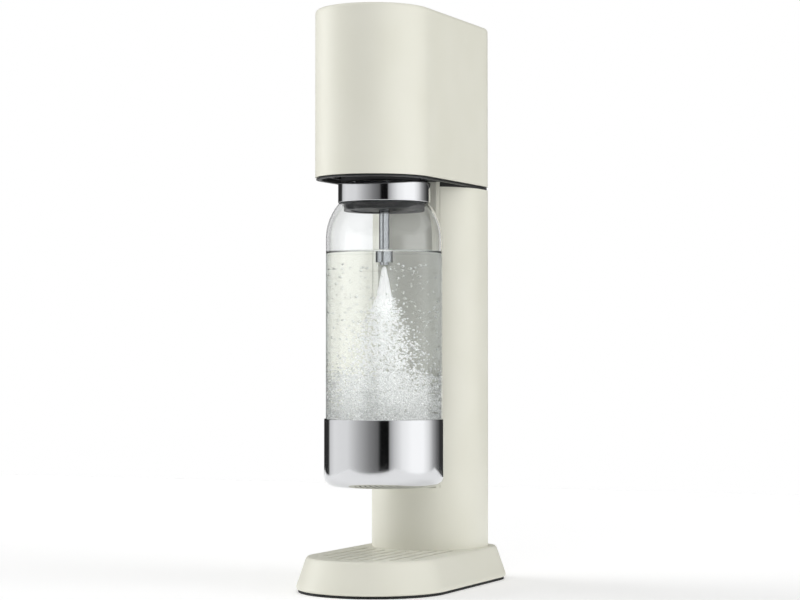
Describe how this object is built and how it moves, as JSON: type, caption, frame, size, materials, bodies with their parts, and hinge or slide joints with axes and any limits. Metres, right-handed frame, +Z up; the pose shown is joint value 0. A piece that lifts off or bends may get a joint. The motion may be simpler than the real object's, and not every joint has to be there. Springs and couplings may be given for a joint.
{
  "type": "soda carbonator",
  "caption": "Tall soda carbonator: overhanging head on a column, clear bottle with metal cup and collar on a tilting carriage, push button, gas cylinder and drip tray.",
  "frame": {"origin": "middle of the footprint, on the underside of the rubber foot pad", "axes": "+Z up the column, -Y towards the front where the bottle hangs, +X to the right seen from the front"},
  "size_m": [0.117, 0.212, 0.436],
  "materials": {
    "cream_plastic": "satin cream moulded plastic",
    "dark_plastic": "matt near-black moulded plastic",
    "rubber": "soft dark rubber",
    "steel": "plain turned steel",
    "chrome": "mirror-polished steel",
    "brass": "turned brass",
    "chassis_metal": "grey painted sheet steel",
    "cylinder_metal": "pale grey painted gas cylinder",
    "handle_plastic": "green-grey glossy plastic",
    "button_plastic": "satin cream plastic, a shade darker than the shell",
    "jaw_plastic": "dark grey acetal",
    "hose_plastic": "translucent pressure hose",
    "bottle_glass": "clear bottle wall"
  },
  "bodies": {
    "frame": {"foot_pad": "rubber", "base_plate": "dark_plastic", "base_screws": "steel", "base_shell": "cream_plastic", "column_shell": "cream_plastic", "bottle_rest_panel": "cream_plastic", "neck_seal": "dark_plastic", "head_shell": "cream_plastic", "head_rim": "dark_plastic", "head_floor": "dark_plastic", "head_screws": "steel", "chassis": "chassis_metal", "chassis_screws": "steel", "cylinder_cradle": "dark_plastic", "quick_connect_block": "dark_plastic", "handle_pin": "steel", "relief_valve": "brass", "relief_spring": "steel", "gas_hose": "hose_plastic", "lever_bracket": "chassis_metal", "lever_pin": "steel", "button_guide": "dark_plastic", "button_spring": "steel", "cover_magnets": "steel"},
    "drip_tray": {"drip_tray": "dark_plastic"},
    "drip_grille": {"drip_grille": "cream_plastic"},
    "bottle_carriage": {"bottle_holder": "dark_plastic", "pivot_pins": "steel", "neck_gasket": "rubber", "neck_plug": "dark_plastic", "nozzle_tube": "steel", "nozzle_tip": "steel"},
    "jaw_left": {"snap_jaw_left": "jaw_plastic"},
    "jaw_right": {"snap_jaw_right": "jaw_plastic"},
    "bottle": {"bottle_glass": "bottle_glass", "neck_insert": "dark_plastic", "bottle_collar": "chrome", "bottle_cup": "chrome"},
    "button": {"push_button": "button_plastic"},
    "lever": {"carbonating_lever": "handle_plastic"},
    "gas_cylinder": {"gas_cylinder": "cylinder_metal", "cylinder_valve": "brass"},
    "valve_pin": {"valve_pin": "steel"},
    "cylinder_handle": {"cylinder_handle": "handle_plastic"},
    "relief_poppet": {"relief_poppet": "steel"},
    "rear_cover": {"rear_cover": "cream_plastic"}
  },
  "joints": [
    {"name": "tray_lift", "type": "slide", "parent": "frame", "child": "drip_tray", "axis": [0, 0, 1], "range_m": [0, 0.016]},
    {"name": "grille_lift", "type": "slide", "parent": "drip_tray", "child": "drip_grille", "axis": [0, 0, 1], "range_m": [0, 0.006]},
    {"name": "bottle_tilt", "type": "hinge", "parent": "frame", "child": "bottle_carriage", "pos_m": [0, -0.0295, 0.327], "axis": [-1, 0, 0], "range_deg": [0, 20]},
    {"name": "bottle_drop", "type": "slide", "parent": "bottle_carriage", "child": "bottle", "axis": [0, 0, -1], "range_m": [0, 0.0205]},
    {"name": "jaw_left_open", "type": "slide", "parent": "bottle_carriage", "child": "jaw_left", "axis": [-1, 0, 0], "range_m": [0, 0.0025]},
    {"name": "jaw_right_open", "type": "slide", "parent": "bottle_carriage", "child": "jaw_right", "axis": [1, 0, 0], "range_m": [0, 0.0025]},
    {"name": "button_press", "type": "slide", "parent": "frame", "child": "button", "axis": [0, 0, -1], "range_m": [0, 0.008], "stiffness_N_per_m": 500, "springref_m": -0.003, "deforming": ["button_spring"]},
    {"name": "lever_tilt", "type": "hinge", "parent": "frame", "child": "lever", "pos_m": [0, 0.08, 0.409], "axis": [1, 0, 0], "range_deg": [0, 8.4]},
    {"name": "valve_pin_slide", "type": "slide", "parent": "gas_cylinder", "child": "valve_pin", "axis": [0, 0, -1], "range_m": [0, 0.0039]},
    {"name": "handle_lift", "type": "hinge", "parent": "frame", "child": "cylinder_handle", "pos_m": [0, 0.062, 0.3785], "axis": [1, 0, 0], "range_deg": [0, 50]},
    {"name": "cylinder_drop", "type": "slide", "parent": "frame", "child": "gas_cylinder", "axis": [0, 0, -1], "range_m": [0, 0.0055]},
    {"name": "relief_pop", "type": "slide", "parent": "frame", "child": "relief_poppet", "axis": [0, 0, 1], "range_m": [0, 0.0015], "stiffness_N_per_m": 400, "springref_m": -0.002, "deforming": ["relief_spring"]},
    {"name": "cover_pull", "type": "slide", "parent": "frame", "child": "rear_cover", "axis": [0, 1, 0], "range_m": [0, 0.04]}
  ],
  "couplings": [
    {"joint": "bottle_drop", "follows": "bottle_tilt", "m_per_rad": 0.0573},
    {"joint": "jaw_left_open", "follows": "bottle_tilt", "m_per_rad": 0.0071},
    {"joint": "jaw_right_open", "follows": "bottle_tilt", "m_per_rad": 0.0071},
    {"joint": "lever_tilt", "follows": "button_press", "rad_per_m": 18.18},
    {"joint": "valve_pin_slide", "follows": "button_press", "ratio": 0.48},
    {"joint": "handle_lift", "follows": "cylinder_drop", "rad_per_m": 158.67}
  ]
}
